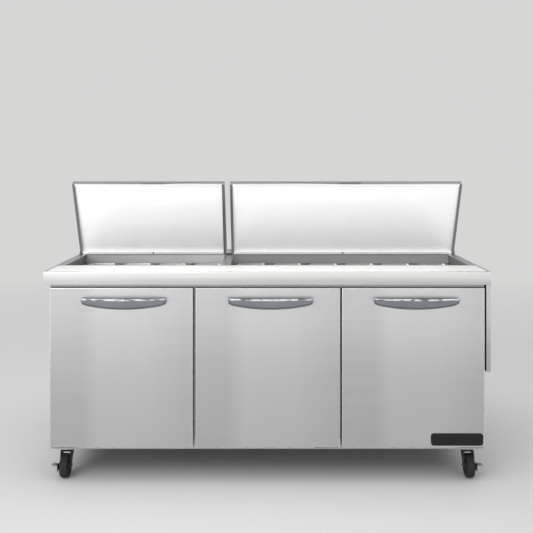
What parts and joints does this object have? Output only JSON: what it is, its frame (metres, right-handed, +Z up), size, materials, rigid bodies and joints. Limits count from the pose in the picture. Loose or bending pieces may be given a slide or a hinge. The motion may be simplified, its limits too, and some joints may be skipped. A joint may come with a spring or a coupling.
{
  "type": "sandwich prep table",
  "caption": "Stainless refrigerated prep table on swivel casters, with hinged doors below, food pan wells under hinged hoods on top and a white cutting board along the front.",
  "frame": {"origin": "on the floor, under the middle of the table's bounding box with the hoods open", "axes": "+X to the right of someone facing the doors, +Y from the doors to the back, +Z up"},
  "size_m": [1.829, 0.798, 1.2262],
  "materials": {
    "brushed_stainless": "satin",
    "pan_stainless": "satin",
    "chrome_plate": "polished",
    "zinc_plated_steel": "satin",
    "fin_aluminium": "satin",
    "black_paint": "satin",
    "white_liner": "gloss",
    "board_polyethylene": "matte",
    "gasket_rubber": "matte",
    "caster_tyre": "matte",
    "black_plastic": "satin",
    "insulation_foam": "matte"
  },
  "bodies": {
    "cabinet": {"base_pan": "brushed_stainless", "side_panel_left": "brushed_stainless", "side_panel_right": "brushed_stainless", "back_panel": "brushed_stainless", "front_frame": "brushed_stainless", "interior_liner": "white_liner", "insulation": "insulation_foam", "worktop": "brushed_stainless", "pan_wells": "brushed_stainless", "pan_supports_left": "brushed_stainless", "pan_supports_right": "brushed_stainless", "food_pans_1": "pan_stainless", "food_pans_2": "pan_stainless", "food_pans_3": "pan_stainless", "food_pans_4": "pan_stainless", "food_pans_5": "pan_stainless", "side_service_cover": "brushed_stainless", "hinge_rail_top": "zinc_plated_steel", "hinge_rail_bottom": "zinc_plated_steel", "lid_hinge_rail": "zinc_plated_steel", "wire_shelves": "zinc_plated_steel", "evaporator_housing": "white_liner", "evaporator_coil": "fin_aluminium", "evaporator_fan_motor": "black_paint", "condenser_fan_motor": "black_paint", "compressor": "black_paint", "condenser_coil": "fin_aluminium", "rear_grille": "brushed_stainless", "temperature_controller": "black_plastic", "power_inlet": "black_plastic"},
    "door_left": {"door_left_shell": "brushed_stainless", "door_left_liner": "white_liner", "door_left_gasket": "gasket_rubber", "door_left_handle": "chrome_plate"},
    "door_middle": {"door_middle_shell": "brushed_stainless", "door_middle_liner": "white_liner", "door_middle_gasket": "gasket_rubber", "door_middle_handle": "chrome_plate"},
    "door_right": {"door_right_shell": "brushed_stainless", "door_right_liner": "white_liner", "door_right_gasket": "gasket_rubber", "door_right_handle": "chrome_plate", "label_plate": "black_plastic"},
    "lid_left": {"lid_left_shell": "brushed_stainless", "lid_left_liner": "white_liner"},
    "lid_right": {"lid_right_shell": "brushed_stainless", "lid_right_liner": "white_liner"},
    "board": {"cutting_board": "board_polyethylene"},
    "caster_front_left": {"caster_front_left_fork": "black_paint"},
    "wheel_front_left": {"caster_front_left_wheel": "caster_tyre"},
    "caster_front_right": {"caster_front_right_fork": "black_paint"},
    "wheel_front_right": {"caster_front_right_wheel": "caster_tyre"},
    "caster_rear_left": {"caster_rear_left_fork": "black_paint"},
    "wheel_rear_left": {"caster_rear_left_wheel": "caster_tyre"},
    "caster_rear_right": {"caster_rear_right_fork": "black_paint"},
    "wheel_rear_right": {"caster_rear_right_wheel": "caster_tyre"},
    "brake_front_left": {"caster_front_left_brake": "zinc_plated_steel"},
    "brake_front_right": {"caster_front_right_brake": "zinc_plated_steel"},
    "evaporator_rotor": {"evaporator_fan": "black_plastic"},
    "condenser_rotor": {"condenser_fan": "fin_aluminium"}
  },
  "joints": [
    {"name": "door_left_hinge", "type": "hinge", "parent": "cabinet", "child": "door_left", "pos_m": [-0.875, -0.347, 0.474], "axis": [0, 0, -1], "range_deg": [0, 110]},
    {"name": "door_middle_hinge", "type": "hinge", "parent": "cabinet", "child": "door_middle", "pos_m": [0.2828, -0.347, 0.474], "axis": [0, 0, 1], "range_deg": [0, 110]},
    {"name": "door_right_hinge", "type": "hinge", "parent": "cabinet", "child": "door_right", "pos_m": [0.875, -0.347, 0.474], "axis": [0, 0, 1], "range_deg": [0, 110]},
    {"name": "lid_left_hinge", "type": "hinge", "parent": "cabinet", "child": "lid_left", "pos_m": [-0.5505, 0.187, 0.8785], "axis": [1, 0, 0], "range_deg": [0, 65.8]},
    {"name": "lid_right_hinge", "type": "hinge", "parent": "cabinet", "child": "lid_right", "pos_m": [0.3652, 0.187, 0.8785], "axis": [1, 0, 0], "range_deg": [0, 65.8]},
    {"name": "cutting_board_lift", "type": "slide", "parent": "cabinet", "child": "board", "axis": [0, 0, -1], "range_m": [-0.06, 0]},
    {"name": "caster_front_left_swivel", "type": "hinge", "parent": "cabinet", "child": "caster_front_left", "pos_m": [-0.843, -0.2624, 0.108], "axis": [0, 0, 1], "continuous": true},
    {"name": "wheel_front_left_spin", "type": "hinge", "parent": "caster_front_left", "child": "wheel_front_left", "pos_m": [-0.843, -0.2904, 0.0475], "axis": [1, 0, 0], "continuous": true},
    {"name": "brake_front_left_press", "type": "hinge", "parent": "caster_front_left", "child": "brake_front_left", "pos_m": [-0.843, -0.2904, 0.0475], "axis": [1, 0, 0], "range_deg": [0, 20]},
    {"name": "caster_front_right_swivel", "type": "hinge", "parent": "cabinet", "child": "caster_front_right", "pos_m": [0.843, -0.2624, 0.108], "axis": [0, 0, 1], "continuous": true},
    {"name": "wheel_front_right_spin", "type": "hinge", "parent": "caster_front_right", "child": "wheel_front_right", "pos_m": [0.843, -0.2904, 0.0475], "axis": [1, 0, 0], "continuous": true},
    {"name": "brake_front_right_press", "type": "hinge", "parent": "caster_front_right", "child": "brake_front_right", "pos_m": [0.843, -0.2904, 0.0475], "axis": [1, 0, 0], "range_deg": [0, 20]},
    {"name": "caster_rear_left_swivel", "type": "hinge", "parent": "cabinet", "child": "caster_rear_left", "pos_m": [-0.843, 0.3464, 0.108], "axis": [0, 0, 1], "continuous": true},
    {"name": "wheel_rear_left_spin", "type": "hinge", "parent": "caster_rear_left", "child": "wheel_rear_left", "pos_m": [-0.843, 0.3184, 0.0475], "axis": [1, 0, 0], "continuous": true},
    {"name": "caster_rear_right_swivel", "type": "hinge", "parent": "cabinet", "child": "caster_rear_right", "pos_m": [0.843, 0.3464, 0.108], "axis": [0, 0, 1], "continuous": true},
    {"name": "wheel_rear_right_spin", "type": "hinge", "parent": "caster_rear_right", "child": "wheel_rear_right", "pos_m": [0.843, 0.3184, 0.0475], "axis": [1, 0, 0], "continuous": true},
    {"name": "evaporator_fan_spin", "type": "hinge", "parent": "cabinet", "child": "evaporator_rotor", "pos_m": [0, 0.237, 0.5825], "axis": [0, 1, 0], "continuous": true},
    {"name": "condenser_fan_spin", "type": "hinge", "parent": "cabinet", "child": "condenser_rotor", "pos_m": [0.06, 0.262, 0.25], "axis": [0, 1, 0], "continuous": true}
  ]
}
